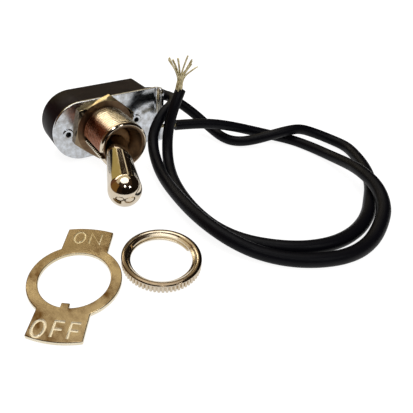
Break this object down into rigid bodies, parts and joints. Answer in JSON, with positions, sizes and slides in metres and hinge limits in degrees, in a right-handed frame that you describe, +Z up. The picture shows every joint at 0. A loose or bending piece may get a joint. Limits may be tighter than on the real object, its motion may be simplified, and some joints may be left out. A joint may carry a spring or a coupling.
{
  "type": "toggle light switch",
  "caption": "Bushing-mounted toggle light switch with bat lever, wire leads with stripped ends, and its ON/OFF indicator plate and knurled ring nut laid beside it.",
  "frame": {"origin": "bushing axis at the hex nut's front face, where the panel seats", "axes": "-Y along the bushing, out of the panel's front; +X along the case to the end where the leads leave; +Z up as the switch lies in the picture"},
  "size_m": [0.0914, 0.068, 0.0239],
  "materials": {
    "phenolic": "moulded phenolic, slightly glossy",
    "zinc_plated_steel": "bright zinc plate",
    "nickel_plated_brass": "bright warm nickel plate",
    "brassy_nickel_steel": "pale satin plate",
    "brass": "plain stamped",
    "copper": "plain stamped copper",
    "silver": "plain",
    "spring_steel": "plain",
    "nylon": "moulded",
    "lead_insulation": "extruded, satin",
    "tinned_strands": "bare strands"
  },
  "bodies": {
    "switch": {"housing": "phenolic", "mounting_plate": "zinc_plated_steel", "eyelets": "brass", "bushing": "nickel_plated_brass", "hex_nut": "nickel_plated_brass", "pivot_pin": "spring_steel", "hinge_terminal": "brass", "fixed_contact": "silver", "contact_terminal": "brass", "front_lead": "lead_insulation", "rear_lead": "lead_insulation", "front_conductor": "tinned_strands", "rear_conductor": "tinned_strands", "indicator_plate": "brassy_nickel_steel", "ring_nut": "nickel_plated_brass"},
    "lever": {"lever": "nickel_plated_brass", "lever_spring": "spring_steel"},
    "plunger": {"plunger": "nylon"},
    "rocker": {"rocker": "copper", "moving_contact": "silver"}
  },
  "joints": [
    {"name": "lever_throw", "type": "hinge", "parent": "switch", "child": "lever", "pos_m": [0, -0.0055, 0], "axis": [0, 0, 1], "range_deg": [0, 40]},
    {"name": "rocker_tip", "type": "hinge", "parent": "switch", "child": "rocker", "pos_m": [0, 0.0081, 0], "axis": [0, 0, 1], "range_deg": [-16, 0]},
    {"name": "plunger_travel", "type": "slide", "parent": "lever", "child": "plunger", "axis": [-0.342, -0.9397, 0], "range_m": [0, 0.001], "stiffness_N_per_m": 400, "deforming": ["lever_spring"]}
  ],
  "couplings": [
    {"joint": "rocker_tip", "follows": "lever_throw", "ratio": -0.4}
  ]
}
